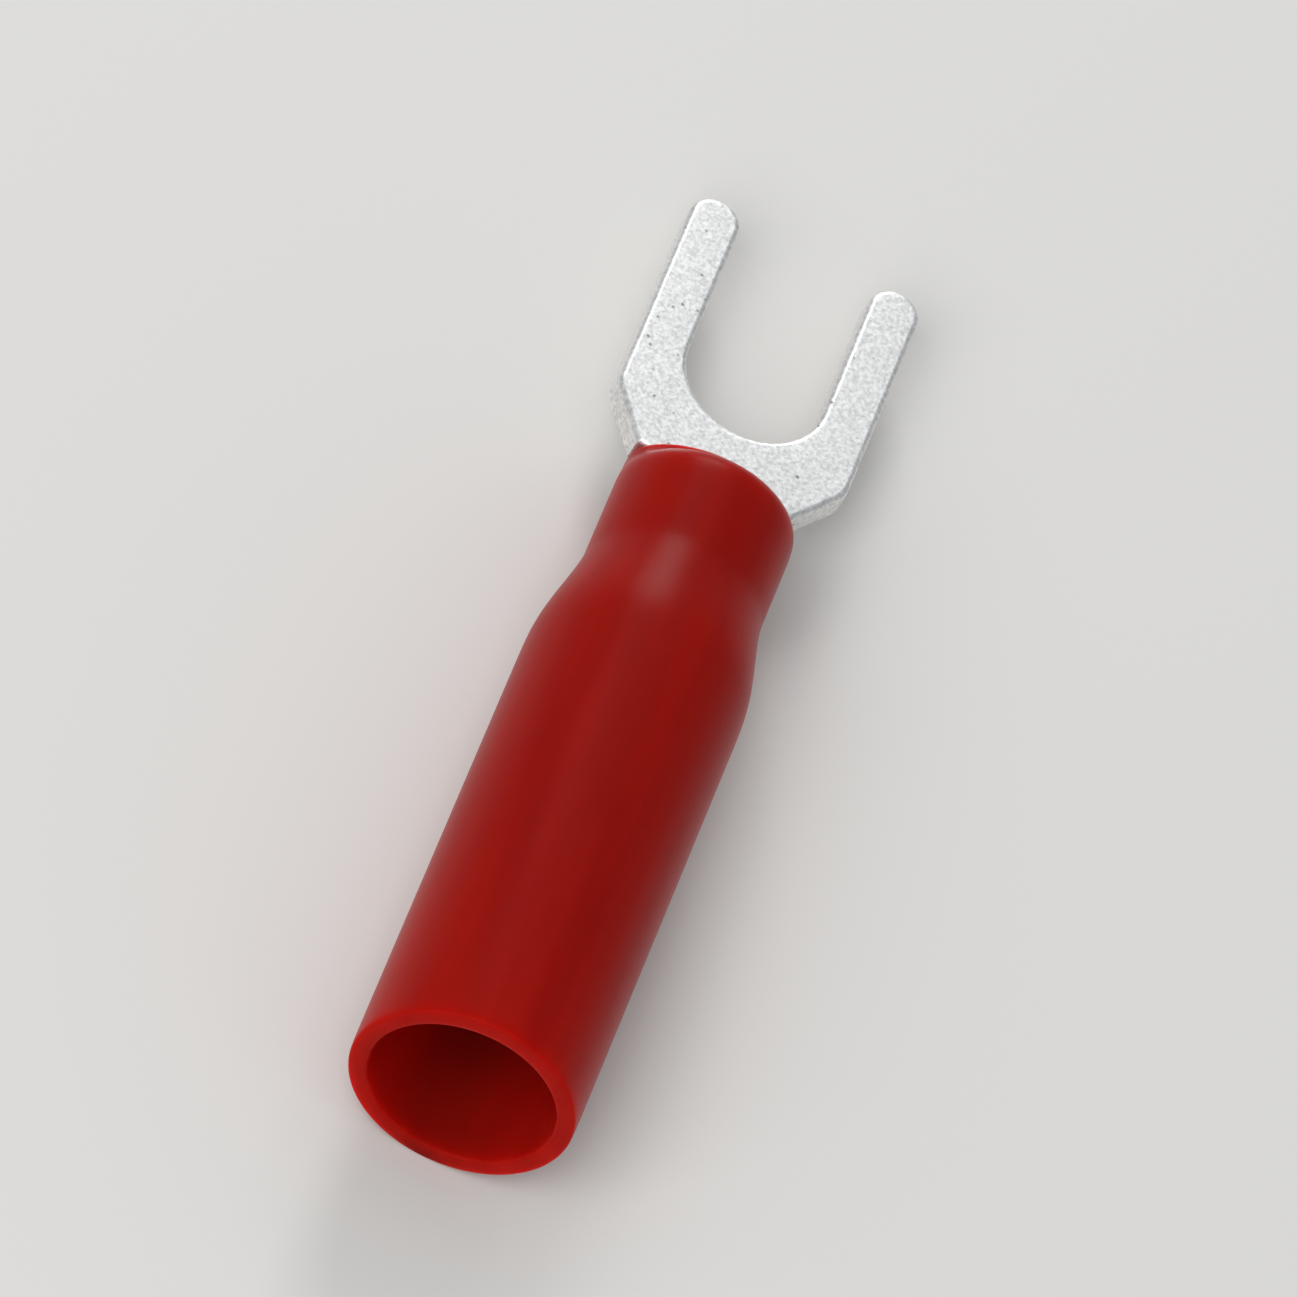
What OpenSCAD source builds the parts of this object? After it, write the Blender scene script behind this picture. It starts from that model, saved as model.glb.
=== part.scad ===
// Fork terminal with a pre-shrunk heat-shrink sleeve.
// The origin is on the stud axis, in the plane of the tongue's lower face.
// +X points to the ends of the tines, +Z out of the tongue's upper face.

/* [Tongue] */
// Thickness of the sheet that the terminal is stamped from
stock_t = 0.8; // [0.7:0.05:0.9]
// Width over both tines
fork_w = 6.4; // [6:0.1:7]
// Width of the stud slot between the tines
slot_w = 3.7; // [3.4:0.05:4]
// Length from the stud axis to the ends of the tines
tine_l = 4.8; // [3.5:0.1:6]
// Length from the stud axis to the back of the shoulders
web_l = 3.6; // [3.2:0.1:4.5]
// Width of the shoulders at their back edge
shoulder_w = 4.3; // [3.9:0.1:4.9]
// Length of each slanted shoulder
shoulder_l = 1.55; // [1.2:0.05:2]
// Radius of the corner between a shoulder and the side of a tine
corner_r = 0.7; // [0.3:0.05:1]
// Width of the neck that runs into the sleeve
neck_w = 2.9; // [2.6:0.05:3.1]
// Length of the flat neck behind the shoulders
neck_l = 0.8; // [0.7:0.05:1.2]
// Length of the coined step across the back of the lower face
step_l = 0.4; // [0.35:0.05:0.6]
// Depth of the coined step
step_depth = 0.06; // [0.03:0.01:0.15]

/* [Barrel] */
// Outer diameter of the rolled barrel
barrel_od = 3.4; // [3.2:0.05:3.8]
// Length of the barrel where it is closed all round
barrel_l = 5; // [4:0.1:6]
// Length over which the neck's edges curl up to a half round
curl_l = 1.3; // [1.1:0.05:2]
// Length over which the curled walls close over the top
close_l = 0.7; // [0.5:0.05:1.2]
// Gap of the butt seam along the top
seam_w = 0.1; // [0.05:0.01:0.3]
// Chamfer inside the wire entry
entry_chamfer = 0.2; // [0.1:0.05:0.4]

/* [Sleeve] */
// Length of the sleeve from its mouth to its open end
sleeve_l = 21.5; // [18:0.5:26]
// Outer diameter where the tube has not been shrunk
tube_od = 5.7; // [5.4:0.1:6.5]
// Wall of the tube where it has not been shrunk
tube_wall = 0.5; // [0.4:0.05:0.6]
// Wall of the tube where it grips the barrel
shrunk_wall = 0.6; // [0.5:0.02:0.7]
// Length from the mouth to the start of the flare
shrunk_l = 4.6; // [4:0.1:6]
// Length of the flare from the gripped part to the full tube
flare_l = 3.4; // [2:0.1:4]

/* [Mouth] */
// Width of the flattened mouth
mouth_w = 4.3; // [4.2:0.1:5]
// Height of the mouth's arch above the tongue's upper face
arch_h = 1.1; // [0.9:0.05:1.5]
// Depth of the mouth's flat bottom below the tongue's lower face
lip_h = 0.6; // [0.5:0.05:0.8]
// Wall of the sleeve at its mouth
mouth_wall = 0.5; // [0.4:0.05:0.55]
// Length of the blend from the mouth to the round part
blend_l = 2.2; // [1.8:0.1:2.3]

/* [Fits] */
// Radial gap between the sleeve and the barrel
barrel_gap = 0.045; // [0.02:0.005:0.1]
// Gap between the sleeve's mouth and the back of the shoulders
mouth_gap = 0.08; // [0.05:0.01:0.2]
// Gap round the adhesive
glue_gap = 0.02; // [0.01:0.005:0.03]

/* [Adhesive] */
// Depth of the adhesive plug inside the mouth
glue_depth = 0.62; // [0.3:0.02:0.7]
// Radius of the bead squeezed out under the tongue
bead_r = 0.32; // [0.2:0.02:0.4]

/* [Hidden] */
$fn = 64;
// Length by which every cutting tool runs past what it cuts
overrun = 1;
axis_z = barrel_od / 2;
tip_r = (fork_w - slot_w) / 4;
tip_y = (fork_w + slot_w) / 4;
curl_x = -web_l - neck_l;
close_x = curl_x - curl_l;
barrel_x = close_x - close_l;
mouth_x = -web_l - mouth_gap;
round_x = mouth_x - blend_l;
flare_x = mouth_x - shrunk_l;
tube_x = flare_x - flare_l;
end_x = mouth_x - sleeve_l;
grip_r = barrel_od / 2 + barrel_gap;
shrunk_r = grip_r + shrunk_wall;
tube_r = tube_od / 2;
bore_r = tube_r - tube_wall;
// Step by which each blend stays inside the faces of the plain part that it meets, and enters it
blend_step = stock_t / 80;
// Exponents of the mouth's outline: 2 is round, more is squarer
arch_power = 1.8;
lip_power = 4.5;
inner_lip_power = 8;
round_power = 2;
// Steps of the faceted blends and of the flare
blend_steps = 12;
ring_steps = 64;
curl_steps = 12;
sheet_steps = 24;
flare_steps = 12;
corner_steps = 5;
quarter_turn = 90;
half_turn = 180;
full_turn = 360;

function mix(a, b, s) = a + (b - a) * s;

function eased(s) = (1 - cos(half_turn * s)) / 2;

function moved(ring, dx) = [for (p = ring) [p[0] + dx, p[1], p[2]]];

// Superellipse with its own height and power above and below its widest line
function oval_point(a, half_w, up, down, up_power, down_power) =
    let (
        power = sin(a) < 0 ? down_power : up_power,
        height = sin(a) < 0 ? down : up
    )
    [
        half_w * sign(cos(a)) * pow(abs(cos(a)), 2 / power),
        height * sign(sin(a)) * pow(abs(sin(a)), 2 / power)
    ];

// Section of the sleeve's blend at share s from the mouth, set inwards by inset
function blend_ring(s, x, inset, up_power, down_power) =
    let (
        e = eased(s),
        half_w = mix(mouth_w / 2, shrunk_r, e) - inset,
        up = mix(arch_h + stock_t / 2, shrunk_r, e) - inset,
        down = mix(lip_h + stock_t / 2, shrunk_r, e) - inset,
        z = mix(stock_t / 2, axis_z, e)
    )
    [
        for (i = [0:ring_steps - 1])
        let (p = oval_point(full_turn * i / ring_steps, half_w, up, down,
            mix(up_power, round_power, e), mix(down_power, round_power, e)))
        [x, p[0], z + p[1]]
    ];

function outer_ring(s) =
    blend_ring(s, mouth_x - blend_l * s, mix(0, blend_step, s), arch_power, lip_power);

function inner_ring(s, gap) =
    blend_ring(s, mouth_x - blend_l * s,
        mix(mouth_wall, shrunk_wall - blend_step, eased(s)) + gap, round_power, inner_lip_power);

// Section of the curled sheet with half angle a and outer radius r, or flat with half width r
function sheet_ring(x, a, r) = [
    for (side = [0, 1])
    for (i = [0:sheet_steps])
    let (
        share = side == 0 ? i / sheet_steps : 1 - i / sheet_steps,
        u = 2 * share - 1,
        depth = mix(blend_step + step_depth, stock_t - blend_step, side)
    )
    a == 0 ? [x, r * u, depth] : [x, (r - depth) * sin(a * u), r - (r - depth) * cos(a * u)]
];

function curl_ring(s) =
    let (
        a = quarter_turn * eased(s),
        half_w = mix(neck_w / 2, barrel_od / 2, eased(s))
    )
    sheet_ring(curl_x - curl_l * s, a, a == 0 ? half_w - blend_step : half_w / sin(a));

function close_ring(s) =
    let (seam_a = asin((seam_w + 2 * blend_step) / (barrel_od - 2 * stock_t)))
    sheet_ring(close_x - close_l * s, mix(quarter_turn, half_turn - seam_a, s), barrel_od / 2);

// Side faces between rings of equal length, closed round each ring
function skin_faces(rings, count, first) = [
    for (k = [0:rings - 2])
    for (i = [0:count - 1])
    let (
        a = first + k * count + i,
        b = first + k * count + (i + 1) % count
    )
    [a, b, b + count, a + count]
];

function reversed(faces) = [for (f = faces) [f[3], f[2], f[1], f[0]]];

module tongue() {
    corner_x = -web_l + shoulder_l;
    slant_a = atan2((fork_w - shoulder_w) / 2, shoulder_l);
    tangent_l = corner_r * tan(slant_a / 2);
    corner_arc = [
        for (i = [0:corner_steps])
        let (a = quarter_turn + slant_a * (1 - i / corner_steps))
        [corner_x + tangent_l + corner_r * cos(a), fork_w / 2 - corner_r + corner_r * sin(a)]
    ];
    half_outline = concat([[-web_l, 0], [-web_l, shoulder_w / 2]], corner_arc,
        [[tine_l - tip_r, fork_w / 2], [tine_l - tip_r, 0]]);
    difference() {
        linear_extrude(height = stock_t)
        difference() {
            union() {
                polygon(half_outline);
                mirror([0, 1]) polygon(half_outline);
                for (side = [-1, 1]) translate([tine_l - tip_r, side * tip_y]) circle(r = tip_r);
            }
            circle(d = slot_w);
            translate([0, -slot_w / 2]) square([tine_l + overrun, slot_w]);
        }
        translate([-web_l - overrun, -fork_w / 2, step_depth - overrun])
            cube([step_l + overrun, fork_w, overrun]);
    }
}

// The sheet from the tongue to the barrel: flat neck, curled to a half round, then closed
module rolled_transition() {
    rings = concat(
        [sheet_ring(-web_l + blend_step, 0, neck_w / 2 - blend_step)],
        [for (k = [0:curl_steps]) curl_ring(k / curl_steps)],
        [for (k = [1:curl_steps]) close_ring(k / curl_steps)],
        [moved(close_ring(1), -blend_step)]
    );
    count = 2 * (sheet_steps + 1);
    last = (len(rings) - 1) * count;
    front_cap = [for (i = [0:sheet_steps - 1]) [i, count - 1 - i, count - 2 - i, i + 1]];
    back_cap = [for (f = reversed(front_cap)) [for (v = f) v + last]];
    polyhedron(
        points = [for (ring = rings) for (p = ring) p],
        faces = concat(skin_faces(len(rings), count, 0), front_cap, back_cap)
    );
}

// The barrel, drawn from where the closed walls end to the wire entry
module barrel() {
    bore_d = barrel_od - 2 * stock_t;
    entry_l = entry_chamfer + overrun;
    translate([barrel_x, 0, axis_z])
    rotate([0, -90, 0])
    difference() {
        cylinder(d = barrel_od, h = barrel_l);
        translate([0, 0, -overrun]) cylinder(d = bore_d, h = barrel_l + 2 * overrun);
        translate([0, 0, barrel_l - entry_chamfer])
            cylinder(d1 = bore_d, d2 = bore_d + 2 * entry_l, h = entry_l);
        translate([0, -seam_w / 2, -overrun])
            cube([barrel_od, seam_w, barrel_l + 2 * overrun]);
    }
}

module fork_terminal() {
    color("silver")
    union() {
        tongue();
        rolled_transition();
        barrel();
    }
}

// Front of the sleeve, from the flattened mouth to the round part
module mouth_blend() {
    outer = concat([for (k = [0:blend_steps]) outer_ring(k / blend_steps)],
        [moved(outer_ring(1), -blend_step)]);
    inner = concat([for (k = [0:blend_steps]) inner_ring(k / blend_steps, 0)],
        [moved(inner_ring(1, 0), -blend_step)]);
    rings = len(outer);
    shift = rings * ring_steps;
    last = (rings - 1) * ring_steps;
    mouth_cap = [
        for (i = [0:ring_steps - 1])
        let (j = (i + 1) % ring_steps)
        [i, shift + i, shift + j, j]
    ];
    round_cap = [for (f = reversed(mouth_cap)) [for (v = f) v + last]];
    polyhedron(
        points = concat([for (ring = outer) for (p = ring) p], [for (ring = inner) for (p = ring) p]),
        faces = concat(
            skin_faces(rings, ring_steps, 0),
            reversed(skin_faces(rings, ring_steps, shift)),
            mouth_cap,
            round_cap
        )
    );
}

// Round part of the sleeve: gripped part, flare and full tube, turned about the axis
module round_sleeve() {
    outer_flare = [
        for (k = [0:flare_steps])
        let (s = k / flare_steps)
        [mix(shrunk_r, tube_r, eased(s)), mix(flare_x, tube_x, s)]
    ];
    inner_flare = [
        for (k = [0:flare_steps])
        let (s = 1 - k / flare_steps)
        [mix(grip_r, bore_r, eased(s)), mix(flare_x, tube_x, s)]
    ];
    profile = concat(
        [[grip_r, round_x], [shrunk_r, round_x]],
        outer_flare,
        [[tube_r, end_x], [bore_r, end_x]],
        inner_flare
    );
    translate([0, 0, axis_z]) rotate([0, 90, 0]) rotate_extrude() polygon(profile);
}

module heat_shrink_sleeve() {
    color("firebrick")
    union() {
        mouth_blend();
        round_sleeve();
    }
}

// Plug of adhesive between the neck and the sleeve's mouth, cut to clear the neck
module adhesive_plug() {
    plug_share = glue_depth / blend_l;
    plug_steps = 4;
    front = [for (p = inner_ring(0, glue_gap)) [-web_l - glue_gap, p[1], p[2]]];
    rings = concat([front],
        [for (k = [0:plug_steps]) inner_ring(plug_share * k / plug_steps, glue_gap)]);
    last = (len(rings) - 1) * ring_steps;
    difference() {
        polyhedron(
            points = [for (ring = rings) for (p = ring) p],
            faces = concat(
                skin_faces(len(rings), ring_steps, 0),
                [[for (i = [0:ring_steps - 1]) ring_steps - 1 - i]],
                [[for (i = [0:ring_steps - 1]) last + i]]
            )
        );
        translate([curl_x, -neck_w / 2 - glue_gap, -glue_gap])
            cube([neck_l + overrun, neck_w + 2 * glue_gap, stock_t + 2 * glue_gap]);
    }
}

// Quarter-round bead under the coined step, in front of the mouth
module squeezed_bead() {
    bead_y = shoulder_w / 2 - bead_r;
    bead_z = step_depth - glue_gap;
    intersection() {
        translate([mouth_x + glue_gap, 0, bead_z]) {
            rotate([90, 0, 0]) cylinder(r = bead_r, h = 2 * bead_y, center = true);
            for (side = [-1, 1]) translate([0, side * bead_y, 0]) sphere(r = bead_r);
        }
        translate([mouth_x + glue_gap, -shoulder_w, bead_z - overrun])
            cube([bead_r + overrun, 2 * shoulder_w, overrun]);
    }
}

module adhesive_bead() {
    color("mistyrose")
    union() {
        adhesive_plug();
        squeezed_bead();
    }
}

fork_terminal();
heat_shrink_sleeve();
adhesive_bead();
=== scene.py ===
import math

import bmesh
import bpy
from mathutils import Matrix, Vector


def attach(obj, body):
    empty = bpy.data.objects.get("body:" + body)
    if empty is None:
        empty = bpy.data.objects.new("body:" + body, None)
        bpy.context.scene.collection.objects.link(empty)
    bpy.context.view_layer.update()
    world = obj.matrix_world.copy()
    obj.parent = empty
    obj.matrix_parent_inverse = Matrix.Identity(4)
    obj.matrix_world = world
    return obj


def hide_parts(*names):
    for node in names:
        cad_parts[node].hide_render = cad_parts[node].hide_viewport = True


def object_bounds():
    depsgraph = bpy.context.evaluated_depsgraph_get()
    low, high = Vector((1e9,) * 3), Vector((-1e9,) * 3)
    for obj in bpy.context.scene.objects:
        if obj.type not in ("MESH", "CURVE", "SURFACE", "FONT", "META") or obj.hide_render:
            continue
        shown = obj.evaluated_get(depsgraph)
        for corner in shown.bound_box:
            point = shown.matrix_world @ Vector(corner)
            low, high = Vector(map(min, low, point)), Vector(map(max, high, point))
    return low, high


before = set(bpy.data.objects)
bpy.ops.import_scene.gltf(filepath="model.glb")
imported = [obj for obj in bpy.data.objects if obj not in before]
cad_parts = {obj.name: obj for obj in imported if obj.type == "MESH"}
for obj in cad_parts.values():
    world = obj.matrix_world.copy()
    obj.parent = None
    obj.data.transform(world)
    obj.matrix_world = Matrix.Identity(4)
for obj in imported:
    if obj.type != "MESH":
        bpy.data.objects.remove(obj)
cad_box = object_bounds()


# The stamped terminal: a fork tongue, neck and rolled wire barrel in one piece of 0.8 mm copper
# sheet, stamped, coined, rolled to a butt seam and then barrel-plated with matte tin. The punch
# leaves a rolled edge on the upper face and a sharper one on the lower face.

MILLIMETRE = 0.001
CENTRE = (0, 0, 0)
# In millimetres, as every size is until a piece goes into the frame.
TOLERANCE = 0.001


def new_piece(name):
    """The primitive that was just added, named, with its place in its mesh."""
    piece = bpy.context.object
    piece.name = name
    piece.data.name = name
    bpy.ops.object.transform_apply(location=True, rotation=True, scale=True)
    return piece


def select_only(piece):
    bpy.ops.object.select_all(action="DESELECT")
    piece.select_set(True)
    bpy.context.view_layer.objects.active = piece


def edit(piece):
    """Opens one piece alone in edit mode."""
    select_only(piece)
    bpy.ops.object.mode_set(mode="EDIT")
    bpy.ops.mesh.select_mode(type="VERT")


def leave_edit():
    bpy.ops.object.mode_set(mode="OBJECT")


def pick(piece, kind, test):
    """Selects the vertices, edges or faces that pass the test, and nothing else."""
    bpy.ops.mesh.select_mode(type=kind)
    bpy.ops.mesh.select_all(action="DESELECT")
    mesh = bmesh.from_edit_mesh(piece.data)
    parts = {"VERT": mesh.verts, "EDGE": mesh.edges, "FACE": mesh.faces}[kind]
    for part in parts:
        if test(part):
            part.select_set(True)
    mesh.select_flush_mode()
    bmesh.update_edit_mesh(piece.data)


def near(a, b):
    return abs(a - b) < TOLERANCE


def lies_at(edge, x):
    """True for an edge that has both its ends at x."""
    return all(near(v.co.x, x) for v in edge.verts)


def upright_edge(edge, x, y_values):
    """True for an edge that stands through the sheet at x and one of the y values."""
    a, b = edge.verts
    stands = not near(a.co.z, b.co.z)
    return stands and near(a.co.x, x) and any(near(a.co.y, y) for y in y_values)


def end_face(face, x):
    """True for a face that stands square to the X axis at x."""
    return abs(face.normal.x) > 0.99 and near(face.calc_center_median().x, x)


def extrude(x=0, y=0):
    """Extrudes what is selected along X or Y."""
    bpy.ops.mesh.extrude_region_move(TRANSFORM_OT_translate={"value": (x, y, 0)})


def merge_touching():
    bpy.ops.mesh.select_all(action="SELECT")
    bpy.ops.mesh.remove_doubles(threshold=TOLERANCE)


def face_outwards():
    bpy.ops.mesh.select_all(action="SELECT")
    bpy.ops.mesh.normals_make_consistent(inside=False)


def apply_modifiers(piece):
    select_only(piece)
    for modifier in list(piece.modifiers):
        bpy.ops.object.modifier_apply(modifier=modifier.name)


def combine(piece, tool, operation):
    """Cuts the tool's shape out of the piece, or adds it to the piece, and deletes the tool."""
    modifier = piece.modifiers.new("combine", "BOOLEAN")
    modifier.operation = operation
    modifier.solver = "EXACT"
    modifier.object = tool
    apply_modifiers(piece)
    bpy.data.objects.remove(tool)


def join_to(piece, other):
    """Makes the other piece's mesh a part of this one."""
    select_only(piece)
    other.select_set(True)
    bpy.ops.object.join()


def into_frame(piece):
    """Turns a finished piece's millimetres into the frame's metres."""
    edit(piece)
    bpy.ops.mesh.select_all(action="SELECT")
    bpy.ops.transform.resize(value=(MILLIMETRE,) * 3, center_override=CENTRE)
    leave_edit()


sheet = 0.8
fork_width = 6.4
slot_width = 3.7
tip_x = 4.8
shoulder_x = -2.05
tongue_back_x = -3.6
shoulder_width = 4.3
shoulder_radius = 0.7
coin_x = -3.2
coin_depth = 0.06
neck_width = 2.9
neck_back_x = -4.4
barrel_radius = 1.7
bore_radius = barrel_radius - sheet
barrel_front_x = -6.4
barrel_back_x = -11.4
barrel_seam = 0.1
barrel_sides = 48

# The blank: a plate, narrowed behind the shoulders, with their corners rounded.
bpy.ops.object.select_all(action="DESELECT")
bpy.ops.mesh.primitive_cube_add(
    size=1,
    location=((tip_x + tongue_back_x) / 2, 0, sheet / 2),
    scale=(tip_x - tongue_back_x, fork_width, sheet),
)
terminal = new_piece("tinned_terminal")
edit(terminal)
bpy.ops.mesh.select_all(action="SELECT")
bpy.ops.mesh.bisect(plane_co=(shoulder_x, 0, 0), plane_no=(1, 0, 0))
pick(terminal, "VERT", lambda v: near(v.co.x, tongue_back_x))
bpy.ops.transform.resize(value=(1, shoulder_width / fork_width, 1), center_override=CENTRE)
slant = math.atan2((fork_width - shoulder_width) / 2, shoulder_x - tongue_back_x)
pick(terminal, "EDGE", lambda e: upright_edge(e, shoulder_x, (-fork_width / 2, fork_width / 2)))
bpy.ops.mesh.bevel(offset=shoulder_radius * math.tan(slant / 2), segments=5, affect="EDGES")
leave_edit()

# The slot, with its half-round bottom. A cutting tool reaches this far past what it cuts.
tool_reach = 1
slot_end = tip_x + tool_reach
bpy.ops.mesh.primitive_cube_add(
    size=1,
    location=((slot_end - slot_width / 2) / 2, 0, sheet / 2),
    scale=(slot_end + slot_width / 2, slot_width, 3 * sheet),
)
slot_tool = new_piece("slot_tool")
edit(slot_tool)
pick(slot_tool, "EDGE", lambda e: upright_edge(e, -slot_width / 2, (-slot_width / 2, slot_width / 2)))
bpy.ops.mesh.bevel(offset=slot_width / 2, segments=20, affect="EDGES")
merge_touching()
leave_edit()
combine(terminal, slot_tool, "DIFFERENCE")

# The coined strip under the back of the shoulders.
bpy.ops.mesh.primitive_cube_add(
    size=1,
    location=(coin_x - tool_reach, 0, coin_depth - tool_reach / 2),
    scale=(2 * tool_reach, fork_width, tool_reach),
)
coining_tool = new_piece("coining_tool")
combine(terminal, coining_tool, "DIFFERENCE")

# The tines' ends are full rounds.
tine_width = (fork_width - slot_width) / 2
tine_edges = (-fork_width / 2, -slot_width / 2, slot_width / 2, fork_width / 2)
edit(terminal)
pick(terminal, "EDGE", lambda e: upright_edge(e, tip_x, tine_edges))
bpy.ops.mesh.bevel(offset=tine_width / 2, segments=10, affect="EDGES")
merge_touching()

# The neck grows out of the middle of the back edge.
for side in (1, -1):
    pick(terminal, "FACE", lambda f: end_face(f, tongue_back_x))
    bpy.ops.mesh.bisect(plane_co=(0, side * neck_width / 2, 0), plane_no=(0, 1, 0))
pick(terminal, "FACE", lambda f: end_face(f, tongue_back_x) and near(f.calc_center_median().y, 0))
extrude(x=neck_back_x - tongue_back_x)
bpy.ops.mesh.delete(type="ONLY_FACE")
bpy.ops.mesh.select_all(action="SELECT")
bpy.ops.mesh.dissolve_limited(angle_limit=math.radians(0.5))


def rim_of(side):
    """A test for the edges that bound the upper (1) or lower (-1) face, in front of the neck."""

    def test(edge):
        flat = [near(f.normal.z, side) for f in edge.link_faces]
        on_tongue = min(v.co.x for v in edge.verts) > tongue_back_x - TOLERANCE
        return len(flat) == 2 and flat.count(True) == 1 and on_tongue

    return test


punch_roll = 0.16
pick(terminal, "EDGE", rim_of(1))
bpy.ops.mesh.bevel(offset=punch_roll, segments=4, affect="EDGES")
die_edge = 0.05
pick(terminal, "EDGE", rim_of(-1))
bpy.ops.mesh.bevel(offset=die_edge, segments=2, affect="EDGES")
leave_edit()

# The barrel: a bar of the sheet's thickness turned round the wire's axis, open at the seam.
seam_half = math.asin(barrel_seam / 2 / bore_radius)
mid_radius = barrel_radius - sheet / 2
bpy.ops.mesh.primitive_plane_add(
    size=1,
    location=(
        (barrel_front_x + barrel_back_x) / 2,
        mid_radius * math.sin(seam_half),
        barrel_radius + mid_radius * math.cos(seam_half),
    ),
    rotation=(math.pi / 2 - seam_half, 0, 0),
)
bpy.context.object.scale = (barrel_front_x - barrel_back_x, sheet, 1)
barrel = new_piece("barrel")
edit(barrel)
bpy.ops.mesh.select_all(action="SELECT")
bpy.ops.mesh.spin(
    steps=barrel_sides,
    angle=2 * (math.pi - seam_half),
    center=(0, 0, barrel_radius),
    axis=(1, 0, 0),
)
leave_edit()
edit(barrel)
face_outwards()
pick(barrel, "FACE", lambda f: end_face(f, barrel_front_x))
bpy.ops.mesh.delete(type="FACE")


def wire_entry(edge):
    """The inner edge of the barrel's end, where the wire goes in."""
    radii = [math.hypot(v.co.y, v.co.z - barrel_radius) for v in edge.verts]
    return lies_at(edge, barrel_back_x) and all(near(radius, bore_radius) for radius in radii)


entry_chamfer = 0.2
pick(barrel, "EDGE", wire_entry)
bpy.ops.mesh.bevel(offset=entry_chamfer, segments=1, affect="EDGES")
leave_edit()


def halve():
    """Deletes the half of a piece at negative Y."""
    bpy.ops.mesh.select_all(action="SELECT")
    bpy.ops.mesh.bisect(plane_co=CENTRE, plane_no=(0, 1, 0), clear_inner=True)


def mirror_over(piece):
    """Completes a piece of which only the half at positive Y was modelled."""
    modifier = piece.modifiers.new("other_half", "MIRROR")
    modifier.use_axis = (False, True, False)
    modifier.use_clip = True
    modifier.merge_threshold = TOLERANCE
    apply_modifiers(piece)


# The curled sheet between them is bridged on one half, which is then mirrored.
curl_rings = 11
edit(terminal)
pick(
    terminal,
    "EDGE",
    lambda e: lies_at(e, neck_back_x) and near(e.verts[0].co.z, e.verts[1].co.z),
)
bpy.ops.mesh.subdivide(number_cuts=barrel_sides - 1, ngon=True)
leave_edit()
join_to(terminal, barrel)
edit(terminal)
halve()
pick(
    terminal,
    "EDGE",
    lambda e: e.is_boundary and (lies_at(e, neck_back_x) or lies_at(e, barrel_front_x)),
)
bpy.ops.mesh.bridge_edge_loops(type="SINGLE", number_cuts=curl_rings, interpolation="SURFACE", smoothness=1)
leave_edit()
mirror_over(terminal)


def split_large_faces(piece, x_stations):
    """Cuts a piece across at each station, and what still has more than four sides into triangles."""
    edit(piece)
    for x in x_stations:
        bpy.ops.mesh.select_all(action="SELECT")
        bpy.ops.mesh.bisect(plane_co=(x, 0, 0), plane_no=(1, 0, 0))
    pick(piece, "FACE", lambda f: len(f.verts) > 4)
    bpy.ops.mesh.quads_convert_to_tris(quad_method="BEAUTY", ngon_method="BEAUTY")
    leave_edit()


# The cuts stand closer together round the slot's bottom, and end behind the shoulders.
slot_bottom_x = -slot_width / 2
tine_cuts = (tip_x - tine_width / 2, 2.8, 1.4, 0)
slot_cuts = (-0.5, -0.9, -1.2, -1.5, -1.7, slot_bottom_x)
shoulder_cuts = (-2.1, -2.6, -3)
split_large_faces(terminal, tine_cuts + slot_cuts + shoulder_cuts)
bpy.ops.object.shade_smooth_by_angle(angle=math.radians(30))
terminal.modifiers.new("flat_faces", "WEIGHTED_NORMAL").keep_sharp = True
apply_modifiers(terminal)
into_frame(terminal)


def linear(hex_colour):
    """An sRGB hex colour as the linear one that shaders take."""
    channels = [int(hex_colour[i : i + 2], 16) / 255 for i in (1, 3, 5)]
    return [c / 12.92 if c <= 0.04045 else ((c + 0.055) / 1.055) ** 2.4 for c in channels] + [1]


def add_node(tree, kind, settings=(), **inputs):
    """Adds a node with its settings. An input is a value, or the output that is linked to it."""
    node = tree.nodes.new(kind)
    for name, value in dict(settings).items():
        setattr(node, name, value)
    for name, value in inputs.items():
        socket = node.inputs[name.replace("_", " ")]
        if isinstance(value, bpy.types.NodeSocket):
            tree.links.new(value, socket)
        else:
            socket.default_value = value
    return node


def colour_ramp(tree, value, first, second):
    """The colour of a value between two (position, hex colour) stops."""
    node = add_node(tree, "ShaderNodeValToRGB", Fac=value)
    for index, (position, hex_colour) in enumerate((first, second)):
        node.color_ramp.elements[index].position = position
        node.color_ramp.elements[index].color = linear(hex_colour)
    return node.outputs["Color"]


def new_material(name):
    material = bpy.data.materials.new(name)
    material.use_nodes = True
    material.node_tree.nodes.clear()
    return material


def finish_material(tree, shader):
    add_node(tree, "ShaderNodeOutputMaterial", Surface=shader.outputs[0])


def coat(piece, material):
    piece.data.materials.clear()
    piece.data.materials.append(material)


# Matte tin, plated in a barrel: it reads as a pale grey metal with a fine dull grain where the
# parts rubbed on each other, a few pits whose shade is painted in as darker grey specks, and no
# clear reflections. Sizes are in metres.
tin = new_material("matte_tin_plate")
tree = tin.node_tree
place = add_node(tree, "ShaderNodeTexCoord").outputs["Object"]
grain_size = 0.00011
grain_height = 0.00002
cloud_size = 0.0006
pit_spacing = 0.00048
smoothest = 0.42
dullest = 0.54
grain = add_node(tree, "ShaderNodeTexNoise", Vector=place, Scale=1 / grain_size, Detail=3, Roughness=0.65)
clouds = add_node(tree, "ShaderNodeTexNoise", Vector=place, Scale=1 / cloud_size, Detail=2)
pits = add_node(tree, "ShaderNodeTexVoronoi", Vector=place, Scale=1 / pit_spacing, Randomness=1)
grain_tone = colour_ramp(tree, grain.outputs["Fac"], (0.34, "#D6D6D5"), (0.64, "#FCFCFB"))
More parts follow.
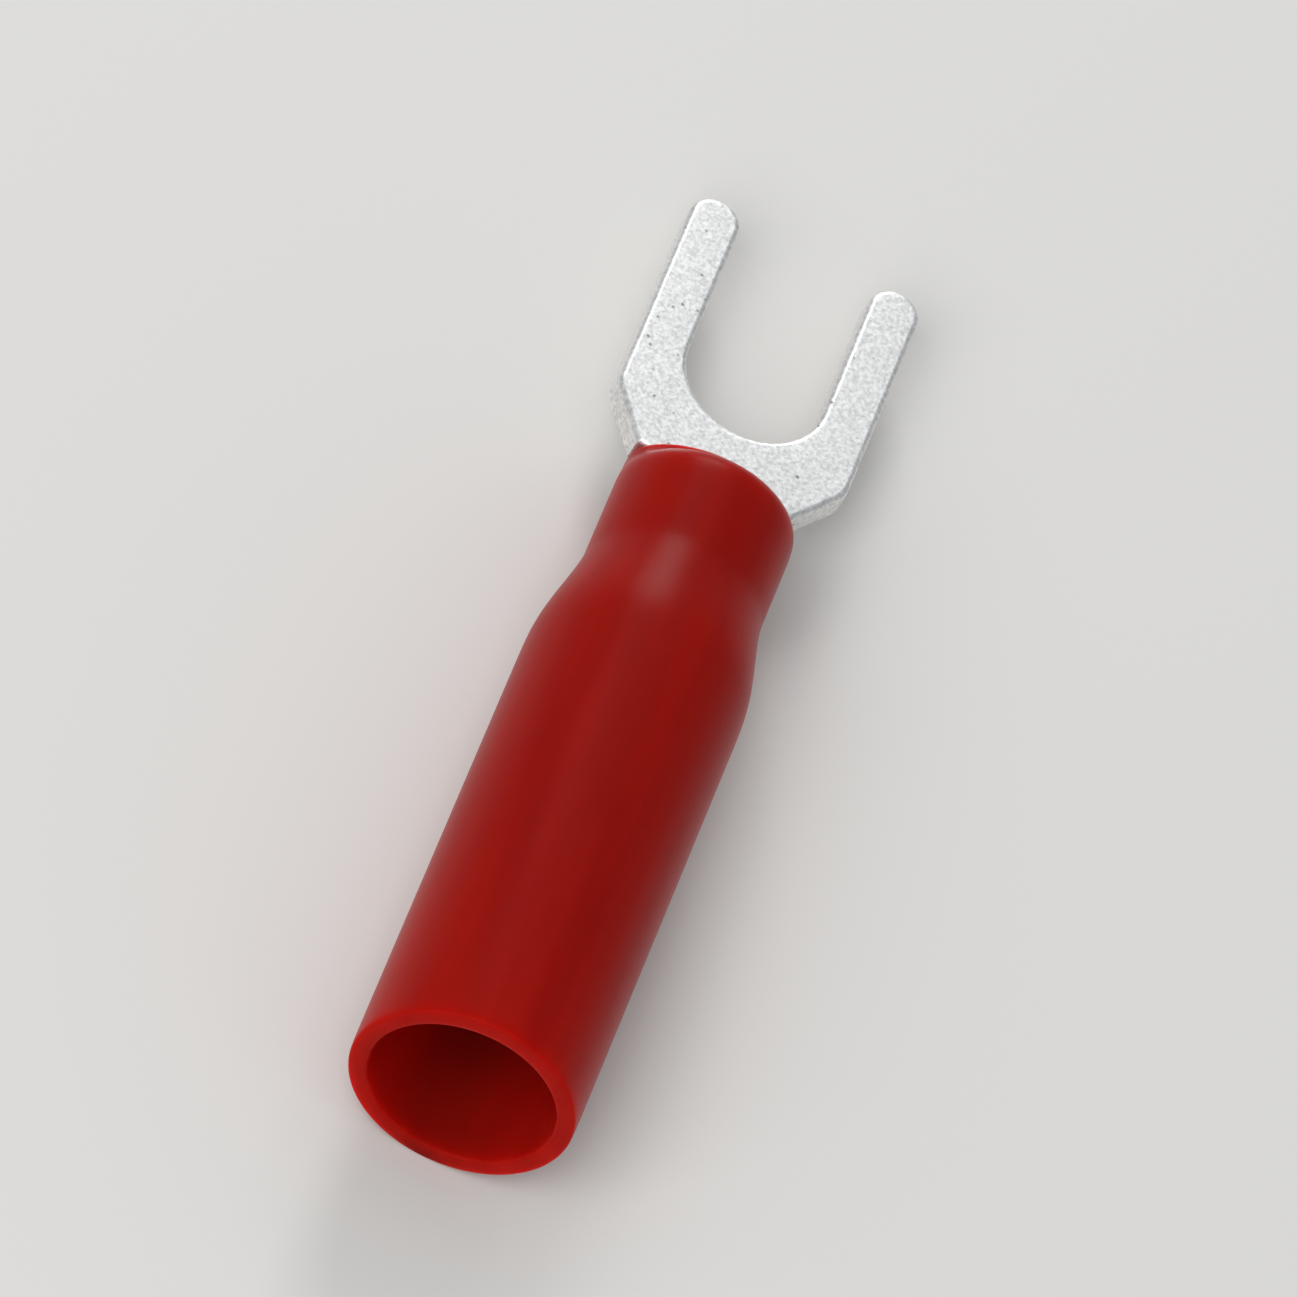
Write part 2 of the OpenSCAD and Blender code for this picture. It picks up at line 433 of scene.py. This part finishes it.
# The pits have no dent in the mesh: the shade in them is painted here as a darker grey.
pit_shade_mask = colour_ramp(tree, pits.outputs["Distance"], (0.05, "#A3A2A0"), (0.13, "#FFFFFF"))
grain_with_pit_shade = add_node(tree, "ShaderNodeMix", {"data_type": "RGBA", "blend_type": "MULTIPLY"}, Factor=1)
# The places of a Mix node's colour sockets, which share their names with its other sockets.
FIRST_COLOUR, SECOND_COLOUR, MIXED_COLOUR = 6, 7, 2
tree.links.new(grain_tone, grain_with_pit_shade.inputs[FIRST_COLOUR])
tree.links.new(pit_shade_mask, grain_with_pit_shade.inputs[SECOND_COLOUR])
dullness = add_node(
    tree,
    "ShaderNodeMapRange",
    Value=clouds.outputs["Fac"],
    From_Min=0.3,
    From_Max=0.7,
    To_Min=smoothest,
    To_Max=dullest,
)
relief = add_node(tree, "ShaderNodeBump", Height=grain.outputs["Fac"], Strength=0.35, Distance=grain_height)
shader = add_node(
    tree,
    "ShaderNodeBsdfPrincipled",
    Base_Color=grain_with_pit_shade.outputs[MIXED_COLOUR],
    Metallic=1,
    Roughness=dullness.outputs["Result"],
    Normal=relief.outputs["Normal"],
)
finish_material(tree, shader)
coat(terminal, tin)
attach(terminal, "root")
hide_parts("fork_terminal")


# The heat-shrink sleeve: a cut length of extruded, cross-linked red polyolefin tube. The works have
# shrunk its front on the barrel and flattened its mouth on the tongue. The rest keeps the full
# bore, to be shrunk on the wire's insulation after crimping.

tube_radius = 2.85
tube_wall = 0.5
tube_end_x = -25.18
flare_back_x = -11.68
flare_front_x = -8.28
grip_radius = 2.345
blend_back_x = -5.88
mouth_x = -3.68
mouth_half_width = 2.15
mouth_top = 1.9
mouth_bottom = -0.6
collar = 0.12
sleeve_sides = 64
axis_z = barrel_radius


def new_ring(name, x, radius):
    """A ring of edges square to the X axis, round the barrel's axis."""
    bpy.ops.object.select_all(action="DESELECT")
    bpy.ops.mesh.primitive_circle_add(
        vertices=sleeve_sides, radius=radius, location=(x, 0, axis_z), rotation=(0, math.pi / 2, 0)
    )
    return new_piece(name)


# Shares of the flare's length and of its narrowing: it ends in a faint crease at the grip.
flare_shares = (
    (0.12, 0.025),
    (0.25, 0.1),
    (0.4, 0.27),
    (0.55, 0.48),
    (0.7, 0.7),
    (0.84, 0.88),
    (0.94, 0.975),
    (1, 1),
)

# The tube is drawn from its open end to the grip, ring by ring.
tube_rings = 10
grip_rings = 4
tube_step = flare_back_x - tube_end_x
grip_step = blend_back_x - flare_front_x
stations = [(tube_end_x + tube_step * k / tube_rings, tube_radius) for k in range(1, tube_rings + 1)]
for length_share, narrowing_share in flare_shares:
    x = flare_back_x + (flare_front_x - flare_back_x) * length_share
    stations.append((x, tube_radius + (grip_radius - tube_radius) * narrowing_share))
stations += [(flare_front_x + grip_step * k / grip_rings, grip_radius) for k in range(1, grip_rings + 1)]
sleeve = new_ring("red_sleeve", tube_end_x, tube_radius)
edit(sleeve)
bpy.ops.mesh.select_all(action="SELECT")
last_x, last_radius = tube_end_x, tube_radius
for x, radius in stations:
    growth = radius / last_radius
    extrude(x=x - last_x)
    bpy.ops.transform.resize(value=(1, growth, growth), center_override=(x, 0, axis_z))
    last_x, last_radius = x, radius
leave_edit()


def mouth_place(co, inset, top_power, bottom_power):
    """Moves a point of a ring to the same turn of the flattened mouth. A power of 2 is a round arch,
    and a higher one is flatter."""
    middle = sheet / 2
    turn = math.atan2(co.z - axis_z, co.y)
    cos, sin = math.cos(turn), math.sin(turn)
    power = top_power if sin > 0 else bottom_power
    height = (mouth_top - middle if sin > 0 else middle - mouth_bottom) - inset
    co.y = math.copysign(abs(cos) ** (2 / power), cos) * (mouth_half_width - inset)
    co.z = middle + math.copysign(abs(sin) ** (2 / power), sin) * height


# The mouth is a ring pressed to an arch over the tongue and flat beneath it, with a short straight
# collar. It is bridged to the grip on one half, with an easier blend than the fullest, which is 1.
blend_rings = 9
blend_fullness = 0.75
mouth = new_ring("mouth", mouth_x, grip_radius)
for vertex in mouth.data.vertices:
    mouth_place(vertex.co, inset=0, top_power=1.8, bottom_power=4.5)
edit(mouth)
bpy.ops.mesh.select_all(action="SELECT")
extrude(x=-collar)
leave_edit()
join_to(sleeve, mouth)
edit(sleeve)
halve()
pick(
    sleeve,
    "EDGE",
    lambda e: e.is_boundary and (lies_at(e, blend_back_x) or lies_at(e, mouth_x - collar)),
)
bpy.ops.mesh.bridge_edge_loops(
    type="SINGLE", number_cuts=blend_rings, interpolation="SURFACE", smoothness=blend_fullness
)
leave_edit()
mirror_over(sleeve)
edit(sleeve)
face_outwards()
leave_edit()

# The wall is grown inwards, and both cut ends get a slightly softened edge.
modifier = sleeve.modifiers.new("wall", "SOLIDIFY")
modifier.thickness = tube_wall
modifier.offset = -1
modifier.use_even_offset = True
apply_modifiers(sleeve)


def cut_edge(x):
    """A test for the two edges of the cut end at x."""

    def test(edge):
        return lies_at(edge, x) and not all(end_face(f, x) for f in edge.link_faces)

    return test


tube_end_softness = 0.07
mouth_softness = 0.12
edit(sleeve)
for end_x, softness in ((tube_end_x, tube_end_softness), (mouth_x, mouth_softness)):
    pick(sleeve, "EDGE", cut_edge(end_x))
    bpy.ops.mesh.bevel(offset=softness, segments=2, affect="EDGES")
leave_edit()
modifier = sleeve.modifiers.new("round", "SUBSURF")
modifier.levels = modifier.render_levels = 1
apply_modifiers(sleeve)
edit(sleeve)
bpy.ops.mesh.select_all(action="SELECT")
bpy.ops.mesh.faces_shade_smooth()
leave_edit()
into_frame(sleeve)

# Translucent red polyolefin, extruded: a saturated red that glows where light comes through the
# wall, with faint streaks drawn along the tube and a dull micro-rough skin that softens highlights.
red = new_material("red_cross_linked_polyolefin")
tree = red.node_tree
place = add_node(tree, "ShaderNodeTexCoord").outputs["Object"]
skin_grain = 0.00012
skin_height = 0.00002
streak_size = 0.0008
streak_squeeze = 0.12
scatter_depth = 0.0025
grain = add_node(tree, "ShaderNodeTexNoise", Vector=place, Scale=1 / skin_grain, Detail=2, Roughness=0.6)
drawn = add_node(tree, "ShaderNodeMapping", Vector=place, Scale=(streak_squeeze, 1, 1))
drawn_place = drawn.outputs["Vector"]
streaks = add_node(tree, "ShaderNodeTexNoise", Vector=drawn_place, Scale=1 / streak_size, Detail=2)
body_tone = colour_ramp(tree, streaks.outputs["Fac"], (0.3, "#900F09"), (0.7, "#9B130B"))
relief = add_node(tree, "ShaderNodeBump", Height=grain.outputs["Fac"], Strength=0.15, Distance=skin_height)
shader = add_node(
    tree,
    "ShaderNodeBsdfPrincipled",
    Base_Color=body_tone,
    Roughness=0.34,
    IOR=1.5,
    Normal=relief.outputs["Normal"],
    Specular_IOR_Level=0.06,
    Specular_Tint=linear("#FFA995"),
    Subsurface_Weight=1,
    Subsurface_Radius=(1, 0.12, 0.08),
    Subsurface_Scale=scatter_depth,
)
finish_material(tree, shader)
coat(sleeve, red)
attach(sleeve, "root")
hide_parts("heat_shrink_sleeve")


# The adhesive: hot-melt that lines the sleeve's front. Shrinking squeezed it out at the mouth, where
# it froze round the neck with a hollow face, and as a narrow bead in the coined strip below.

glue_front_x = -3.62
glue_back_x = -4.3
glue_gap = 0.01

# The plug: the mouth's inner outline, filled, its face hollowed in steps, and the neck's section
# cut through it. Each step goes back by a depth and leaves a share of the face.
hollow_steps = ((0.05, 0.92), (0.05, 0.85), (0.03, 0.7))
glue = new_ring("hot_melt_seal", glue_front_x, grip_radius)
for vertex in glue.data.vertices:
    mouth_place(vertex.co, inset=tube_wall + glue_gap, top_power=2, bottom_power=8)
edit(glue)
bpy.ops.mesh.select_all(action="SELECT")
bpy.ops.mesh.edge_face_add()
extrude(x=glue_back_x - glue_front_x)
face_outwards()
pick(glue, "FACE", lambda f: end_face(f, glue_front_x))
for depth, share in hollow_steps:
    extrude(x=-depth)
    bpy.ops.transform.resize(value=(1, share, share), center_override=(0, 0, sheet))
leave_edit()
bpy.ops.mesh.primitive_cube_add(
    size=1,
    location=((glue_front_x + glue_back_x) / 2, 0, (sheet + coin_depth) / 2),
    scale=(2 * tool_reach, neck_width + 2 * glue_gap, sheet - coin_depth + 2 * glue_gap),
)
neck_tool = new_piece("neck_tool")
combine(glue, neck_tool, "DIFFERENCE")

# The bead: a bar drawn ring by ring, uneven along its length, flat where it lies on the coined
# strip and on the sleeve's end. The thickness of each ring is a share of the radius.
bead_radius = 0.32
bead_end_gap = 0.05
bead_half_length = shoulder_width / 2 - bead_end_gap
bead_top_z = coin_depth - glue_gap
bead_back_x = mouth_x + glue_gap
first_half = (0.2, 0.62, 0.85, 0.96, 0.88, 0.93, 1, 0.97, 0.86)
second_half = (0.9, 0.98, 0.94, 0.99, 0.91, 0.8, 0.55, 0.2)
thickness_shares = first_half + second_half
bpy.ops.object.select_all(action="DESELECT")
bpy.ops.mesh.primitive_circle_add(
    vertices=24,
    radius=bead_radius * thickness_shares[0],
    location=(bead_back_x, -bead_half_length, bead_top_z),
    rotation=(math.pi / 2, 0, 0),
)
bead = new_piece("bead")
edit(bead)
bpy.ops.mesh.select_all(action="SELECT")
bpy.ops.mesh.edge_face_add()
for k in range(1, len(thickness_shares)):
    # The rings stand closer together at both rounded ends.
    turn = math.pi * k / (len(thickness_shares) - 1)
    last_turn = math.pi * (k - 1) / (len(thickness_shares) - 1)
    growth = thickness_shares[k] / thickness_shares[k - 1]
    extrude(y=bead_half_length * (math.cos(last_turn) - math.cos(turn)))
    bpy.ops.transform.resize(value=(growth, 1, growth), center_override=(bead_back_x, 0, bead_top_z))
face_outwards()
bpy.ops.mesh.bisect(plane_co=(bead_back_x, 0, 0), plane_no=(1, 0, 0), use_fill=True, clear_inner=True)
bpy.ops.mesh.select_all(action="SELECT")
bpy.ops.mesh.bisect(plane_co=(0, 0, bead_top_z), plane_no=(0, 0, 1), use_fill=True, clear_outer=True)
leave_edit()
combine(glue, bead, "UNION")
edit(glue)
bpy.ops.mesh.select_all(action="SELECT")
bpy.ops.mesh.quads_convert_to_tris(quad_method="BEAUTY", ngon_method="BEAUTY")
bpy.ops.mesh.tris_convert_to_quads()
leave_edit()
bpy.ops.object.shade_smooth_by_angle(angle=math.radians(40))
into_frame(glue)

# Clear polyamide hot-melt, frozen from the melt: glossy and nearly clear, with a faint pink painted
# into its base colour for the red sleeve's light behind it, and bright glints on its rounded edges.
hot_melt = new_material("clear_polyamide_hot_melt")
tree = hot_melt.node_tree
shader = add_node(
    tree,
    "ShaderNodeBsdfPrincipled",
    # The pink in this colour is painted light from the red sleeve behind the hot-melt.
    Base_Color=linear("#F3DDD6"),
    Roughness=0.08,
    IOR=1.5,
    Transmission_Weight=0.85,
)
finish_material(tree, shader)
coat(glue, hot_melt)
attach(glue, "root")
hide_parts("adhesive_bead")


# The stage: a pale paper floor that the sleeve lies on, and a pale room. A small soft box stands low
# beyond the tines, a weaker one above it and a large one behind the camera, which looks down along
# the sleeve towards the tines. All sizes here are in metres.

floor_size = 4
floor_z = (axis_z - tube_radius) * MILLIMETRE
bpy.ops.object.select_all(action="DESELECT")
bpy.ops.mesh.primitive_plane_add(size=floor_size, location=(0, 0, floor_z))
floor = bpy.context.object
floor.name = "floor"
# Matt paper, near white and without gloss, so that the shadow on it stays soft.
paper = new_material("matt_pale_paper")
tree = paper.node_tree
shader = add_node(tree, "ShaderNodeBsdfPrincipled", Base_Color=linear("#E9E7E3"), Roughness=0.7)
finish_material(tree, shader)
floor.data.materials.append(paper)

# The room is a plain pale grey all round.
room = bpy.data.worlds.new("pale_room")
bpy.context.scene.world = room
room.use_nodes = True
tree = room.node_tree
tree.nodes.clear()
light_all_round = add_node(tree, "ShaderNodeBackground", Color=linear("#EEF1F5"), Strength=0.42)
add_node(tree, "ShaderNodeOutputWorld", Surface=light_all_round.outputs[0])

middle = (cad_box[0] + cad_box[1]) / 2


def soft_light(name, direction, distance, size, radiance):
    """A square soft box that faces the part, with the radiance of its face given, 1 being white."""
    direction = Vector(direction).normalized()
    lamp = bpy.data.lights.new(name, "AREA")
    lamp.shape = "SQUARE"
    lamp.size = size
    lamp.energy = radiance * math.pi * size**2
    holder = bpy.data.objects.new(name, lamp)
    bpy.context.scene.collection.objects.link(holder)
    holder.location = middle + direction * distance
    holder.rotation_euler = direction.to_track_quat("Z", "Y").to_euler()


soft_light("low_beyond_tines", direction=(0.87, 0.24, 0.44), distance=0.3, size=0.1, radiance=9.5)
soft_light("high_beyond_tines", direction=(0.66, -0.09, 0.75), distance=0.4, size=0.1, radiance=1.3)
soft_light("behind_camera", direction=(-0.78, 0.35, 0.77), distance=0.4, size=0.3, radiance=3.4)

# The camera stands 365 mm away, turned so that the sleeve runs up the picture to the right. Its
# focal length and sensor are in millimetres.
focal_length = 416
sensor_width = 36
camera_place = Vector((-0.2455, 0.032, 0.2788))
forward = (middle - camera_place).normalized()
right = Vector((0.2937, -0.8865, 0.3576))
right = (right - forward * right.dot(forward)).normalized()
up = right.cross(forward)
lens = bpy.data.cameras.new("camera")
lens.lens = focal_length
lens.sensor_width = sensor_width
lens.clip_start = 0.01
lens.clip_end = 10
camera = bpy.data.objects.new("camera", lens)
bpy.context.scene.collection.objects.link(camera)
turned = Matrix((right, up, -forward)).transposed().to_4x4()
camera.matrix_world = Matrix.Translation(camera_place) @ turned
bpy.context.scene.camera = camera
bpy.context.scene.view_settings.view_transform = "Standard"
